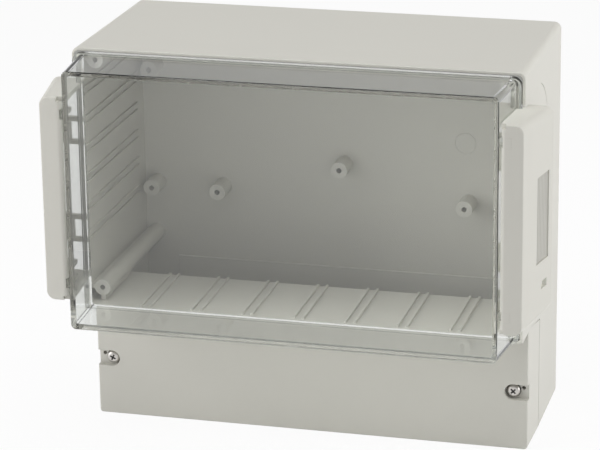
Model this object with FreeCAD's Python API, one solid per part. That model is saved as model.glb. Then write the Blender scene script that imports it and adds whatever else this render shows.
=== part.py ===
"""Wall-mount enclosure with a clear hinged cover, two side clips and a screwed terminal cover.

The object stands in its own frame: X runs to the right, the wall is the plane Y = 0 with the
front towards -Y, and Z is up. The origin is the centre of the four wall-fixing holes on the wall
plane. Depths below are distances from the wall plane, so depth 100 is Y = -100.
"""
import FreeCAD, Part
import math
import os

os.makedirs("parts", exist_ok=True)

V = FreeCAD.Vector

# Base: one thick-walled moulding, open to the front
body_width = 257.0            # across the front rim
body_height = 228.0           # underside to top, at the rim
base_depth = 115.5            # wall plane to the front rim
wall = 3.6                    # side, top and shelf walls
rear_wall = 3.2
draft_angle = 0.5             # degrees, the base widens to its mouth
corner_top_r = 4.0            # outer corners, top
corner_low_r = 2.0            # outer corners, underside
inner_corner_r = 3.0
edge_r = 0.8                  # small rounds on the front edges

# Lower front, which the terminal cover closes
terminal_height = 73.0        # underside to the lower edge of the upper box
terminal_base_depth = 59.5    # wall plane to the joint face of the terminal cover
shoulder_depth = 88.0         # where the lower edge of the upper box starts to slope down
shoulder_drop = 5.3           # how far it slopes down by the joint face
shelf_lip = 2.5               # lip below the back of the shelf, thickness
shelf_lip_height = 10.1       # below the shelf's underside

# Guide ribs for cards: pairs of low ridges
rib_height = 1.2
rib_width = 1.4
rib_back_depth = 17.0
rib_front_gap = 2.5           # ribs stop short of the rim
floor_rib_pitch = 30.0
floor_rib_pairs = 7
floor_rib_gap = 5.5           # centre to centre of one pair
side_rib_pitch = 17.0
side_rib_pairs = 6
side_rib_gap = 4.4
side_rib_first = 38.8         # lowest pair, above the shelf

# Bosses and pillars inside
boss_r = 5.0
boss_height = 14.0
boss_hole_r = 1.6
boss_hole_depth = 10.0
boss_places = [(116.0, 2.0), (75.0, 2.0), (116.0, 73.0), (75.0, -80.0)]   # right half, mirrored
middle_boss_z = 20.7
pillar_r = 4.75
pillar_depth = 108.0
pillar_inset_x = 11.0         # pillar axis inside the outer side
pillar_inset_top = 11.0
pillar_above_shelf = 7.9
pillar_hole_r = 1.5
pillar_hole_depth = 14.0
web = 2.6

# Raised field on the rear wall, and the plain ring moulded on it
field_half_width = 104.0
field_top_below_shelf = 6.6
field_height = 1.2
ring_x = 72.7
ring_z = 38.0
ring_r = 6.4
ring_line = 0.5
ring_height = 0.3

# Wall fixing
fixing_x = 200.0
fixing_z = 190.0
fixing_hole_r = 2.6
fixing_collar_r = 6.5
fixing_collar_height = 1.6

# Knock-outs in the underside
knockout_r = 10.25
knockout_pitch = 45.0
knockout_count = 5
knockout_depth_place = 30.0
knockout_line = 1.0
knockout_web = 1.4            # wall left under the groove

# Finger scoops in the sides, behind the clips
scoop_depth = 1.6
scoop_back_depth = 42.0
scoop_corner_r = 34.0
scoop_over = 0.6              # taller than the clip, each end

# Seal of the clear cover, in a groove in the rim
groove_inset = 1.6
groove_width = 1.6
groove_depth = 1.5
seal_gap = 0.15               # to the piece that presses on a seal

# Clear cover
cover_gap = 0.4               # rim to flange
flange = 3.6                  # flange thickness
flange_inset_side = 1.5       # inside the rim's outline
flange_inset_top = 2.0
flange_inset_low = 0.3
cover_inset_side = 4.5        # cover wall at the flange, inside the rim's outline
cover_inset_top = 2.8
cover_inset_low = 0.8
cover_front_depth = 153.8
cover_taper_side = 2.5        # each side, flange to front
cover_taper_top = 0.5
cover_taper_low = 1.0
cover_wall = 3.0
cover_corner_r = 3.0
flange_corner_r = 5.0
cover_edge_r = 0.7
window_border = 7.0           # plain border round the thinned window
window_step = 0.4

# Side clips
clip_height = 118.1
clip_middle_z = 36.75
clip_front_width = 12.3       # bead to outer edge, at the front
clip_back_out = 14.5          # outside the rim's outline, at the back
clip_back_depth = 110.0
clip_wall = 2.5
clip_corner_r = 5.0
clip_end_taper = 0.8
clip_gap = 0.5                # to the cover and the base
bead_r = 2.6                  # round bead that turns in front of the cover's side
bead_gap = 0.9                # bead to the cover's side wall
recess_height = 49.5
recess_low = 33.8             # above the clip's lower end
recess_back = 5.5             # in front of the clip's back edge
recess_width = 17.5
recess_step = 0.8
slot_low = 17.8               # above the clip's lower end
slot_height = 4.5
slot_back = 7.3
slot_width = 8.2

# Clip pivots: lugs on the cover and steel pins
lug_from_end = 10.0           # lug centre to the clip's end
lug_thickness = 5.0
lug_gap = 0.4
lug_r = 2.3
pin_r = 1.2
pin_length = 12.0
pin_play = 0.05

# Catch bars on the base, which also carry the cover's hinge
bar_r = 1.8
bar_out = 6.0                 # bar axis outside the rim's outline
bar_depth = 114.0
hook_width = 10.0
hook_gap = 0.5
hook_offset = 29.0            # hook centre above and below the clip's middle
hook_thickness = 2.0
hook_clear = 0.2
bar_web = 2.4

# Terminal cover
terminal_front_depth = 92.5
terminal_seal_gap = 0.8       # joint face to the cover's edge
terminal_wall = 3.0
terminal_top_gap = 0.6        # under the upper box
terminal_taper = 0.4
terminal_corner_r = 2.0
terminal_edge_r = 1.0
terminal_seal_inset = 1.0
terminal_seal_width = 2.0
terminal_seal_lift = 0.2      # to the base

# Terminal cover screws, in pockets that open to the sides
screw_inset_x = 9.5           # screw axis inside the outline
screw_above_bottom = 34.5
pocket_depth = 4.2
pocket_r = 4.7
pocket_wall = 2.4
wire_hole_r = 1.1
wire_hole_out = 5.6           # from the screw axis towards the side
wire_hole_up = 1.5
screw_r = 2.0
screw_head_r = 3.8
screw_head_height = 2.4
screw_recess = 4.4
screw_recess_width = 1.0
screw_recess_depth = 1.4
screw_end_depth = 51.5
screw_play = 0.05
sleeve_r = 4.5
sleeve_hole_r = 2.4
washer_r = 4.1
washer = 0.8
insert_r = 2.8
insert_length = 9.0
insert_groove = 0.3

# Places worked out from the sizes above
half_width = body_width / 2
top = body_height / 2
bottom = -body_height / 2
box_low = bottom + terminal_height
shelf_top = box_low + wall
slope = math.tan(math.radians(draft_angle))
flange_back = base_depth + cover_gap
flange_front = flange_back + flange
clip_low = clip_middle_z - clip_height / 2
clip_high = clip_middle_z + clip_height / 2
hook_heights = [clip_middle_z - hook_offset, clip_middle_z + hook_offset]
lug_heights = [clip_low + lug_from_end, clip_high - lug_from_end]
bar_x = half_width + bar_out
screw_x = half_width - screw_inset_x
screw_z = bottom + screw_above_bottom
pocket_floor = terminal_front_depth - pocket_depth
joint_low = box_low - shoulder_drop


def side_at(depth):
    """Outer half width of the base at a depth."""
    return half_width - slope * (base_depth - depth)


def top_at(depth):
    """Height of the base's top at a depth."""
    return top - slope * (base_depth - depth)


def cover_side_at(depth):
    """Outer half width of the clear cover's wall at a depth."""
    run = (depth - flange_front) / (cover_front_depth - flange_front)
    return half_width - cover_inset_side - cover_taper_side * run


# The bead's axis is where each clip turns, just outside the cover's front edge
pivot_depth = cover_front_depth - bead_r
pivot_x = cover_side_at(pivot_depth) + bead_gap + bead_r


def box(x0, x1, d0, d1, z0, z1):
    """Block between two X, two depths and two heights."""
    return Part.makeBox(x1 - x0, d1 - d0, z1 - z0, V(x0, -d1, z0))


def rod_y(x, z, r, d0, d1):
    """Cylinder square to the wall, between two depths."""
    return Part.makeCylinder(r, d1 - d0, V(x, -d1, z), V(0, 1, 0))


def rod_z(x, depth, r, z0, z1):
    """Upright cylinder between two heights."""
    return Part.makeCylinder(r, z1 - z0, V(x, -depth, z0), V(0, 0, 1))


def outline(x0, x1, z0, z1, depth, low_r, high_r):
    """Rectangle parallel to the wall, with rounded lower and upper corners."""
    y = -depth
    corners = [(x1, z0, low_r, -1, 1), (x1, z1, high_r, -1, -1),
               (x0, z1, high_r, 1, -1), (x0, z0, low_r, 1, 1)]
    turns = [(1, 0), (0, 1), (-1, 0), (0, -1)]
    ends = []
    arcs = []
    for (x, z, r, sx, sz), (tx, tz) in zip(corners, turns):
        centre = V(x + sx * r, y, z + sz * r)
        start = V(x - tx * r, y, z - tz * r)
        nx, nz = -tz, tx
        stop = V(x + nx * r, y, z + nz * r)
        mid = centre - V(sx, 0, sz) * (r / math.sqrt(2))
        ends.append((start, stop))
        arcs.append(Part.Arc(start, mid, stop).toShape())
    edges = []
    for i in range(4):
        edges.append(arcs[i])
        edges.append(Part.makeLine(ends[i][1], ends[(i + 1) % 4][0]))
    return Part.Wire(edges)


def loft(first, second):
    """Straight-sided solid between two outlines."""
    return Part.makeLoft([first, second], True, True)


def prism_x(points, x0, x1):
    """Solid along X from a closed row of (depth, height) points."""
    ring = [V(x0, -d, z) for d, z in points]
    face = Part.Face(Part.makePolygon(ring + ring[:1]))
    return face.extrude(V(x1 - x0, 0, 0))


def prism_z(points, z0, z1):
    """Upright solid from a closed row of (x, depth) points."""
    ring = [V(x, -d, z0) for x, d in points]
    face = Part.Face(Part.makePolygon(ring + ring[:1]))
    return face.extrude(V(0, 0, z1 - z0))


def mirrored(shape):
    return shape.mirror(V(0, 0, 0), V(1, 0, 0))


def both_sides(shape):
    """A shape and its mirror image in the middle plane."""
    return [shape, mirrored(shape)]


def edges_at_depth(shape, depth):
    """Edges that lie wholly in the plane at a depth."""
    found = []
    for edge in shape.Edges:
        box_ = edge.BoundBox
        if abs(box_.YMin + depth) < 0.01 and abs(box_.YMax + depth) < 0.01:
            found.append(edge)
    return found


def save(shape, node):
    shape = shape.removeSplitter() if len(shape.Solids) == 1 else shape
    if not shape.isValid():
        print("not valid:", node)
    shape.exportStep(f"parts/{node}.step")
    print(f"{node}: {len(shape.Solids)} solid, {shape.Volume / 1000:.1f} cm3")


def base_outer():
    """The drafted box with its lower front cut away for the terminal cover."""
    back = outline(-side_at(0), side_at(0), bottom, top_at(0), 0, corner_low_r, corner_top_r)
    front = outline(-half_width, half_width, bottom, top, base_depth, corner_low_r, corner_top_r)
    body = loft(back, front)
    over = 5.0
    cut = prism_x([(terminal_base_depth, bottom - over), (terminal_base_depth, joint_low),
                   (shoulder_depth, box_low), (base_depth + over, box_low),
                   (base_depth + over, bottom - over)], -half_width - over, half_width + over)
    body = body.cut(cut)
    return body.makeFillet(edge_r, edges_at_depth(body, base_depth))


def base_hollow():
    """The two compartments, which meet behind the shelf."""
    over = 2.0
    deep = rear_wall
    front = base_depth + over
    upper = loft(
        outline(-side_at(deep) + wall, side_at(deep) - wall, shelf_top, top_at(deep) - wall,
                deep, inner_corner_r, inner_corner_r),
        outline(-side_at(front) + wall, side_at(front) - wall, shelf_top, top_at(front) - wall,
                front, inner_corner_r, inner_corner_r))
    inner = side_at(deep) - wall
    floor = bottom + wall
    lip_low = shelf_top - wall - shelf_lip_height
    lower = box(-inner, inner, deep, terminal_base_depth + over, floor, lip_low)
    passage = box(-inner, inner, deep, terminal_base_depth - shelf_lip, lip_low - 1,
                  shelf_top + inner_corner_r)
    under = prism_x([(terminal_base_depth, joint_low - 1), (terminal_base_depth, shelf_top - wall),
                     (base_depth - wall, shelf_top - wall), (base_depth - wall, box_low - 1)],
                    -inner, inner)
    return upper.fuse([lower, passage, under])


def guide_ribs():
    """Pairs of low ridges on the shelf, the ceiling and both side walls."""
    front = base_depth - rib_front_gap
    into = 1.0
    ribs = []
    for k in range(floor_rib_pairs):
        middle = floor_rib_pitch * (k - (floor_rib_pairs - 1) / 2)
        for offset in (-floor_rib_gap / 2, floor_rib_gap / 2):
            x0 = middle + offset - rib_width / 2
            x1 = x0 + rib_width
            ribs.append(box(x0, x1, terminal_base_depth - shelf_lip, front,
                            shelf_top - into, shelf_top + rib_height))
            low_back = top_at(rib_back_depth) - wall - rib_height
            low_front = top_at(front) - wall - rib_height
            ribs.append(prism_x([(rib_back_depth, low_back), (front, low_front),
                                 (front, low_front + rib_height + into),
                                 (rib_back_depth, low_back + rib_height + into)], x0, x1))
    for k in range(side_rib_pairs):
        middle = shelf_top + side_rib_first + side_rib_pitch * k
        for offset in (-side_rib_gap / 2, side_rib_gap / 2):
            z0 = middle + offset - rib_width / 2
            in_back = side_at(rib_back_depth) - wall
            in_front = side_at(front) - wall
            rib = prism_z([(in_back - rib_height, rib_back_depth), (in_front - rib_height, front),
                           (in_front + into, front), (in_back + into, rib_back_depth)],
                          z0, z0 + rib_width)
            ribs += both_sides(rib)
    return ribs


def inner_posts():
    """Bosses on the rear wall, corner pillars and the pillars for the terminal cover screws."""
    root = rear_wall / 2
    face = rear_wall + boss_height
    places = [(0.0, middle_boss_z)]
    for x, z in boss_places:
        places += [(x, z), (-x, z)]
    posts = [rod_y(x, z, boss_r, root, face) for x, z in places]
    holes = [rod_y(x, z, boss_hole_r, face - boss_hole_depth, face + 1) for x, z in places]

    px = half_width - pillar_inset_x
    to_wall = side_at(0) - wall / 2
    heights = [shelf_top + pillar_above_shelf, top - pillar_inset_top]
    for z in heights:
        posts += both_sides(rod_y(px, z, pillar_r, root, pillar_depth))
        posts += both_sides(box(px, to_wall, root, pillar_depth - 1, z - web / 2, z + web / 2))
        holes += both_sides(rod_y(px, z, pillar_hole_r, pillar_depth - pillar_hole_depth,
                                  pillar_depth + 1))
    posts += both_sides(box(px - web / 2, px + web / 2, terminal_base_depth, pillar_depth - 1,
                            shelf_top - 1, heights[0]))
    posts += both_sides(box(px - web / 2, px + web / 2, root, pillar_depth - 1,
                            heights[1], top_at(0) - wall / 2))

    posts += both_sides(rod_y(screw_x, screw_z, pillar_r, root, terminal_base_depth))
    posts += both_sides(box(screw_x, to_wall, root, terminal_base_depth - 1,
                            screw_z - web / 2, screw_z + web / 2))
    seat = terminal_base_depth - insert_length
    holes += both_sides(rod_y(screw_x, screw_z, insert_r, seat, terminal_base_depth + 1))
    holes += both_sides(rod_y(screw_x, screw_z, screw_r + 2 * screw_play, seat - 6, seat + 1))
    return posts, holes


def rear_wall_details():
    """Raised field, plain ring, collars and holes for the wall screws."""
    raised = [box(-field_half_width, field_half_width, rear_wall / 2, rear_wall + field_height,
                  bottom + wall / 2, shelf_top - field_top_below_shelf)]
    outer = rod_y(ring_x, ring_z, ring_r, rear_wall / 2, rear_wall + ring_height)
    raised.append(outer.cut(rod_y(ring_x, ring_z, ring_r - ring_line, 0, base_depth)))
    holes = []
    for x in (-fixing_x / 2, fixing_x / 2):
        for z in (-fixing_z / 2, fixing_z / 2):
            raised.append(rod_y(x, z, fixing_collar_r, rear_wall / 2,
                                rear_wall + field_height + fixing_collar_height))
            holes.append(rod_y(x, z, fixing_hole_r, -1, rear_wall + 10))
    return raised, holes


def knockout_grooves():
    """Ring grooves outside the underside, which leave thin webs to knock out."""
    grooves = []
    for k in range(knockout_count):
        x = knockout_pitch * (k - (knockout_count - 1) / 2)
        at = V(x, -knockout_depth_place, bottom - 1)
        deep = wall - knockout_web + 1
        ring = Part.makeCylinder(knockout_r, deep, at)
        grooves.append(ring.cut(Part.makeCylinder(knockout_r - knockout_line, deep, at)))
    return grooves


def side_scoop():
    """Shallow finger scoop behind the right clip, deepest at the rim."""
    over = 4.0
    low = clip_low - scoop_over
    high = clip_high + scoop_over
    wedge = prism_z([(half_width - scoop_depth, base_depth + over), (half_width + over, base_depth + over),
                     (half_width + over, scoop_back_depth), (side_at(scoop_back_depth), scoop_back_depth)],
                    low, high)
    r = scoop_corner_r
    shape = box(half_width - 2 * over, half_width + 2 * over, scoop_back_depth, base_depth + over,
                low, high)
    corners = [e for e in shape.Edges
               if abs(e.BoundBox.YMin + scoop_back_depth) < 0.01
               and abs(e.BoundBox.YMax + scoop_back_depth) < 0.01
               and e.BoundBox.XLength > 1]
    return wedge.common(shape.makeFillet(r, corners))


def catch_bracket(z):
    """Round catch bar on two webs, outside the right wall."""
    reach = hook_width / 2 + hook_gap + bar_web
    bar = rod_z(bar_x, bar_depth, bar_r, z - reach, z + reach)
    root = side_at(bar_depth) - scoop_depth - 0.8
    plate = prism_z([(root, base_depth - 0.4), (bar_x, bar_depth + bar_r), (bar_x, bar_depth - bar_r),
                     (root, bar_depth - bar_r + 0.2)], z - reach, z + reach)
    plate = plate.fuse(bar)
    between = box(half_width - scoop_depth - 0.2, bar_x + 2 * bar_r, bar_depth - 4 * bar_r,
                  bar_depth + 4 * bar_r, z - reach + bar_web, z + reach - bar_web)
    return plate.cut(between).fuse(bar)


def make_base():
    body = base_outer().cut(base_hollow())
    posts, post_holes = inner_posts()
    raised, wall_holes = rear_wall_details()
    body = body.fuse(posts + raised + guide_ribs())
    body = body.cut(post_holes + wall_holes + knockout_grooves() + both_sides(side_scoop()))
    brackets = []
    for z in hook_heights:
        brackets += both_sides(catch_bracket(z))
    body = body.fuse(brackets)
    return body.cut(rim_ring(base_depth - groove_depth, base_depth + 1))


def rim_ring(d0, d1):
    """Ring that follows the rim, between two depths."""
    def ring_outline(inset, depth):
        r_top = max(corner_top_r - inset, 0.8)
        r_low = 1.0
        return outline(-half_width + inset, half_width - inset, box_low + inset, top - inset,
                       depth, r_low, r_top)
    outer = loft(ring_outline(groove_inset, d0), ring_outline(groove_inset, d1))
    inset = groove_inset + groove_width
    return outer.cut(loft(ring_outline(inset, d0), ring_outline(inset, d1)))


def make_cover():
    """Clear moulding: front window, tapered walls, flange and four pivot lugs."""
    def wall_outline(depth, inset):
        run = (depth - flange_front) / (cover_front_depth - flange_front)
        side = cover_side_at(depth) - inset
        high = top - cover_inset_top - cover_taper_top * run - inset
        low = box_low + cover_inset_low + cover_taper_low * run + inset
        r = max(cover_corner_r - inset / 2, 0.8)
        return outline(-side, side, low, high, depth, r, r)

    body = loft(wall_outline(flange_back, 0), wall_outline(cover_front_depth, 0))
    body = body.makeFillet(cover_edge_r, edges_at_depth(body, cover_front_depth))
    side = half_width - flange_inset_side
    plate = [outline(-side, side, box_low + flange_inset_low, top - flange_inset_top, d,
                     flange_corner_r, flange_corner_r) for d in (flange_back, flange_front)]
    body = body.fuse(loft(plate[0], plate[1]))
    inner_front = cover_front_depth - cover_wall
    body = body.cut(loft(wall_outline(flange_back - 1, cover_wall),
                         wall_outline(inner_front, cover_wall)))
    step = [wall_outline(d, window_border) for d in (inner_front - 1, inner_front + window_step)]
    body = body.cut(loft(step[0], step[1]))
    lugs = []
    for z in lug_heights:
        z0 = z - lug_thickness / 2
        z1 = z + lug_thickness / 2
        root = cover_side_at(pivot_depth) - cover_wall / 2
        ear = box(root, pivot_x, pivot_depth - lug_r, pivot_depth + lug_r, z0, z1)
        ear = ear.fuse(rod_z(pivot_x, pivot_depth, lug_r, z0, z1))
        lugs += both_sides(ear.cut(rod_z(pivot_x, pivot_depth, pin_r + pin_play, z0 - 1, z1 + 1)))
    return body.fuse(lugs)


def clip_shell():
    """Flared channel of the right clip, open towards the cover and to the back."""
    def section(depth, inset):
        run = (depth - clip_back_depth) / (cover_front_depth - clip_back_depth)
        front_x = pivot_x - bead_r + clip_front_width
        out = half_width + clip_back_out
        side = out + (front_x - out) * run - inset
        taper = clip_end_taper * (1 - run) + inset
        r = clip_corner_r - inset
        return outline(half_width - 20, side, clip_low + taper, clip_high - taper, depth, r, r)

    outer = loft(section(clip_back_depth, 0), section(cover_front_depth, 0))
    outer = outer.makeFillet(edge_r, edges_at_depth(outer, cover_front_depth))
    hollow = loft(section(clip_back_depth - 1, clip_wall),
                  section(cover_front_depth - clip_wall, clip_wall))
    return outer.cut(hollow)


def clip_outer_x(depth):
    """Outer face of the clip's side wall at a depth."""
    run = (depth - clip_back_depth) / (cover_front_depth - clip_back_depth)
    front_x = pivot_x - bead_r + clip_front_width
    out = half_width + clip_back_out
    return out + (front_x - out) * run


def make_clip():
    """Right clip: shell, pivot bead, stiffening ribs and two hooks."""
    over = 5.0
    low = clip_low - over
    high = clip_high + over
    flange_edge = half_width - flange_inset_side + clip_gap
    cover_line = [(half_width - 25, cover_front_depth + over),
                  (cover_side_at(cover_front_depth) + clip_gap, cover_front_depth + over),
                  (cover_side_at(cover_front_depth) + clip_gap, cover_front_depth),
                  (cover_side_at(flange_front) + clip_gap, flange_front + clip_gap),
                  (flange_edge, flange_front + clip_gap), (flange_edge, base_depth + clip_gap),
                  (half_width + clip_gap, base_depth + clip_gap),
                  (half_width + clip_gap, clip_back_depth - over),
                  (half_width - 25, clip_back_depth - over)]
    clip = clip_shell()
    clip = clip.cut(prism_z(cover_line, low, high))
    clip = clip.cut(box(half_width - 25, pivot_x, pivot_depth, cover_front_depth + over, low, high))
    clip = clip.fuse(rod_z(pivot_x, pivot_depth, bead_r, clip_low + clip_corner_r / 2,
                           clip_high - clip_corner_r / 2))

    # ribs each side of the lugs, and the arms that carry the hooks
    extras = []
    for z in lug_heights:
        for side in (-1, 1):
            z0 = z + side * (lug_thickness / 2 + lug_gap) + (0 if side > 0 else -clip_wall)
            front_in = pivot_depth
            back_in = flange_front + 6.0
            rib = prism_z([(pivot_x, front_in + 0.5), (clip_outer_x(front_in) - 1, front_in + 0.5),
                           (clip_outer_x(back_in) - 1, back_in), (pivot_x + 3.0, back_in)],
                          z0, z0 + clip_wall)
            extras.append(rib)
    finger_front = bar_depth - bar_r - 2 * hook_clear
    finger_back = finger_front - hook_thickness
    finger_x = bar_x + bar_r + hook_clear
    for z in hook_heights:
        finger = prism_z([(finger_x, finger_front), (finger_x + 0.8, finger_back),
                          (clip_outer_x(finger_back) - 0.4, finger_back),
                          (clip_outer_x(finger_front) - 1, finger_front)],
                         z - hook_width / 2, z + hook_width / 2)
        extras.append(finger)
    clip = clip.fuse(extras)

    cuts = []
    for z in lug_heights:
        z0 = z - lug_thickness / 2 - lug_gap
        z1 = z + lug_thickness / 2 + lug_gap
        reach = lug_r + lug_gap + 0.4
        cuts.append(box(half_width - 25, pivot_x + reach, pivot_depth - reach,
                        cover_front_depth + over, z0, z1))
        cuts.append(rod_z(pivot_x, pivot_depth, pin_r, z - pin_length / 2, z + pin_length / 2))

    # grip field and the slot for a sealing wire, in the flared side
    d0 = clip_back_depth + recess_back
    d1 = d0 + recess_width
    z0 = clip_low + recess_low
    cuts.append(prism_z([(clip_outer_x(d0) - recess_step, d0), (clip_outer_x(d1) - recess_step, d1),
                         (clip_outer_x(d1) + 3, d1), (clip_outer_x(d0) + 3, d0)],
                        z0, z0 + recess_height))
    d0 = clip_back_depth + slot_back
    z0 = clip_low + slot_low
    cuts.append(box(half_width + 4, half_width + 30, d0, d0 + slot_width, z0, z0 + slot_height))
    return clip.cut(cuts)


def make_clip_pins():
    """Two steel pins on the right clip's axis."""
    pins = []
    for z in lug_heights:
        pins.append(rod_z(pivot_x, pivot_depth, pin_r, z - pin_length / 2, z + pin_length / 2))
    return Part.makeCompound(pins)


def terminal_section(depth, inset):
    """Outline of the terminal cover at a depth."""
    joint = terminal_base_depth + terminal_seal_gap
    run = (depth - joint) / (terminal_front_depth - joint)
    side = side_at(terminal_base_depth) - terminal_taper * run - inset
    r = max(terminal_corner_r - inset, 0.8)
    return outline(-side, side, bottom + inset, box_low + 10, depth, r, r)


def terminal_roof(inset):
    """Everything above the terminal cover's sloping top."""
    z_front = box_low - terminal_top_gap - inset
    z_back = joint_low - terminal_top_gap - inset
    over = 5.0
    return prism_x([(terminal_base_depth - over, z_back - over * (z_front - z_back)
                     / (shoulder_depth - terminal_base_depth)),
                    (shoulder_depth, z_front), (terminal_front_depth + over, z_front),
                    (terminal_front_depth + over, z_front + 60), (terminal_base_depth - over, z_front + 60)],
                   -half_width - over, half_width + over)


def make_terminal_cover():
    joint = terminal_base_depth + terminal_seal_gap
    body = loft(terminal_section(joint, 0), terminal_section(terminal_front_depth, 0))
    body = body.cut(terminal_roof(0))
    body = body.makeFillet(terminal_edge_r, edges_at_depth(body, terminal_front_depth))
    hollow = loft(terminal_section(joint - 1, terminal_wall),
                  terminal_section(terminal_front_depth - terminal_wall, terminal_wall))
    body = body.cut(hollow.cut(terminal_roof(terminal_wall)))

    inside = pocket_r + pocket_wall
    added = []
    cuts = []
    block = box(screw_x, side_at(terminal_base_depth) - 1.5, pocket_floor - terminal_wall,
                terminal_front_depth - 1, screw_z - inside, screw_z + inside)
    block = block.fuse(rod_y(screw_x, screw_z, inside, pocket_floor - terminal_wall,
                             terminal_front_depth - 1))
    sleeve = rod_y(screw_x, screw_z, sleeve_r, joint, pocket_floor - terminal_wall + 0.5)
    rib = box(screw_x, side_at(terminal_base_depth) - 1.5, joint + 1, pocket_floor - terminal_wall + 0.5,
              screw_z - web / 2, screw_z + web / 2)
    added += both_sides(block.fuse([sleeve, rib]))
    pocket = box(screw_x, half_width + 5, pocket_floor, terminal_front_depth + 5,
                 screw_z - pocket_r, screw_z + pocket_r)
    pocket = pocket.fuse(rod_y(screw_x, screw_z, pocket_r, pocket_floor, terminal_front_depth + 5))
    cuts += both_sides(pocket)
    cuts += both_sides(rod_y(screw_x, screw_z, sleeve_hole_r, joint - 1, terminal_front_depth))
    cuts += both_sides(rod_y(screw_x + wire_hole_out, screw_z + wire_hole_up, wire_hole_r,
                             pocket_floor - terminal_wall - 1, terminal_front_depth))
    return body.fuse(added).cut(cuts)


def make_terminal_seal():
    """Flat ring on the terminal cover's back edge."""
    front = terminal_base_depth + terminal_seal_gap
    back = terminal_base_depth + terminal_seal_lift
    side = side_at(terminal_base_depth) - terminal_seal_inset
    low = bottom + terminal_seal_inset
    high = joint_low - terminal_top_gap - terminal_seal_inset
    w = terminal_seal_width
    ring = box(-side, side, back, front, low, high)
    return ring.cut(box(-side + w, side - w, back - 1, front + 1, low + w, high - w))


def make_screw():
    """Right screw: pan head with a cross recess, and a plain shank."""
    under = pocket_floor + washer
    face = under + screw_head_height
    shank = rod_y(screw_x, screw_z, screw_r, screw_end_depth, under + 0.5)
    head = rod_y(screw_x, screw_z, screw_head_r, under, face)
    dome = 2 * screw_head_height
    ball_r = (screw_head_r ** 2 + dome ** 2) / (2 * dome) * 1.6
    ball = Part.makeSphere(ball_r, V(screw_x, -(face - ball_r), screw_z))
    head = head.common(ball)
    arm = screw_recess / 2
    half = screw_recess_width / 2
    for a, b in ((arm, half), (half, arm)):
        cross = box(screw_x - a, screw_x + a, face - screw_recess_depth, face + 1,
                    screw_z - b, screw_z + b)
        head = head.cut(cross)
    cone = Part.makeCone(arm * 0.35, arm * 0.75, screw_recess_depth + 0.4,
                         V(screw_x, -(face - screw_recess_depth - 0.4), screw_z), V(0, -1, 0))
    return shank.fuse(head).cut(cone)


def make_washer():
    """Captive washer under the right screw's head."""
    ring = rod_y(screw_x, screw_z, washer_r, pocket_floor, pocket_floor + washer)
    return ring.cut(rod_y(screw_x, screw_z, screw_r, pocket_floor - 1, pocket_floor + washer + 1))


def make_insert():
    """Threaded brass insert in the base's right screw pillar."""
    back = terminal_base_depth - insert_length
    body = rod_y(screw_x, screw_z, insert_r, back, terminal_base_depth)
    middle = (back + terminal_base_depth) / 2
    groove = rod_y(screw_x, screw_z, insert_r + 1, middle - 0.6, middle + 0.6)
    groove = groove.cut(rod_y(screw_x, screw_z, insert_r - insert_groove, middle - 1, middle + 1))
    bore = rod_y(screw_x, screw_z, screw_r + screw_play, back - 1, terminal_base_depth + 1)
    return body.cut([groove, bore])


save(make_base(), "base")
save(rim_ring(base_depth - groove_depth, flange_back - seal_gap), "cover_seal")
save(make_cover(), "cover")

clip_right = make_clip()
save(clip_right, "clip_right")
save(mirrored(clip_right), "clip_left")
pins_right = make_clip_pins()
save(pins_right, "clip_pins_right")
save(mirrored(pins_right), "clip_pins_left")

save(make_terminal_cover(), "terminal_cover")
save(make_terminal_seal(), "terminal_seal")
for name, shape in (("screw", make_screw()), ("washer", make_washer()), ("insert", make_insert())):
    save(shape, f"{name}_right")
    save(mirrored(shape), f"{name}_left")
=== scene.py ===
"""Looks of the wall-mount enclosure: moulded base, clear hinged cover, side clips, terminal cover."""
import math

import bmesh
import bpy
from mathutils import Matrix, Vector


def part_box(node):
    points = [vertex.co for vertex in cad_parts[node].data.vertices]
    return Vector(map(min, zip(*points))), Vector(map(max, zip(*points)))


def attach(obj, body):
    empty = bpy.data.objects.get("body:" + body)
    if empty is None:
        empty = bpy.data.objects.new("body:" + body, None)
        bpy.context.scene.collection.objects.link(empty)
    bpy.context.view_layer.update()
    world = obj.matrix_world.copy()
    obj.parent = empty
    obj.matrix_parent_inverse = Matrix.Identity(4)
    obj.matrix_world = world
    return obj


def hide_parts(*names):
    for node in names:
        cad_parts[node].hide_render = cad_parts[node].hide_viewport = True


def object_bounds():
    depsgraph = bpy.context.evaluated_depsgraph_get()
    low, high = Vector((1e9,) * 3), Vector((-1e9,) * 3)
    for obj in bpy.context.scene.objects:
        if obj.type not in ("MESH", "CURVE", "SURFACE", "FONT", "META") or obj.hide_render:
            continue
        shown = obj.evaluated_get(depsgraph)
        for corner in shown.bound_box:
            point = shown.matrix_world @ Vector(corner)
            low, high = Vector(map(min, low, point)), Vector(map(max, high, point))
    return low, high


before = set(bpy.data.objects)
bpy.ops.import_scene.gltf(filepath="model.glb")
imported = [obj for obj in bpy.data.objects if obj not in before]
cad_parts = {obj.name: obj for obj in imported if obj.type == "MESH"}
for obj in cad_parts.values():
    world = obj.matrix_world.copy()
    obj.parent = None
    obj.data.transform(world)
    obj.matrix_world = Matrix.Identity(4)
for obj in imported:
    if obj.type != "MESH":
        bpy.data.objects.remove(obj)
size_at_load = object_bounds()
mm = 0.001

# The base is one thick-walled moulding in a light warm grey thermoplastic. Its walls have a fine
# eroded grain from the tool and its edges are broken by a small radius. It hangs on four wall
# screws and carries everything else.
housing_grey = (0.640, 0.628, 0.575, 1.0)
cloud_size = 45 * mm
cloud_tint = 0.015
cloud_gloss = 0.04
broken_edge = 0.35 * mm
sharp_angle = math.radians(32)
weld_distance = 0.02 * mm


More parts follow.
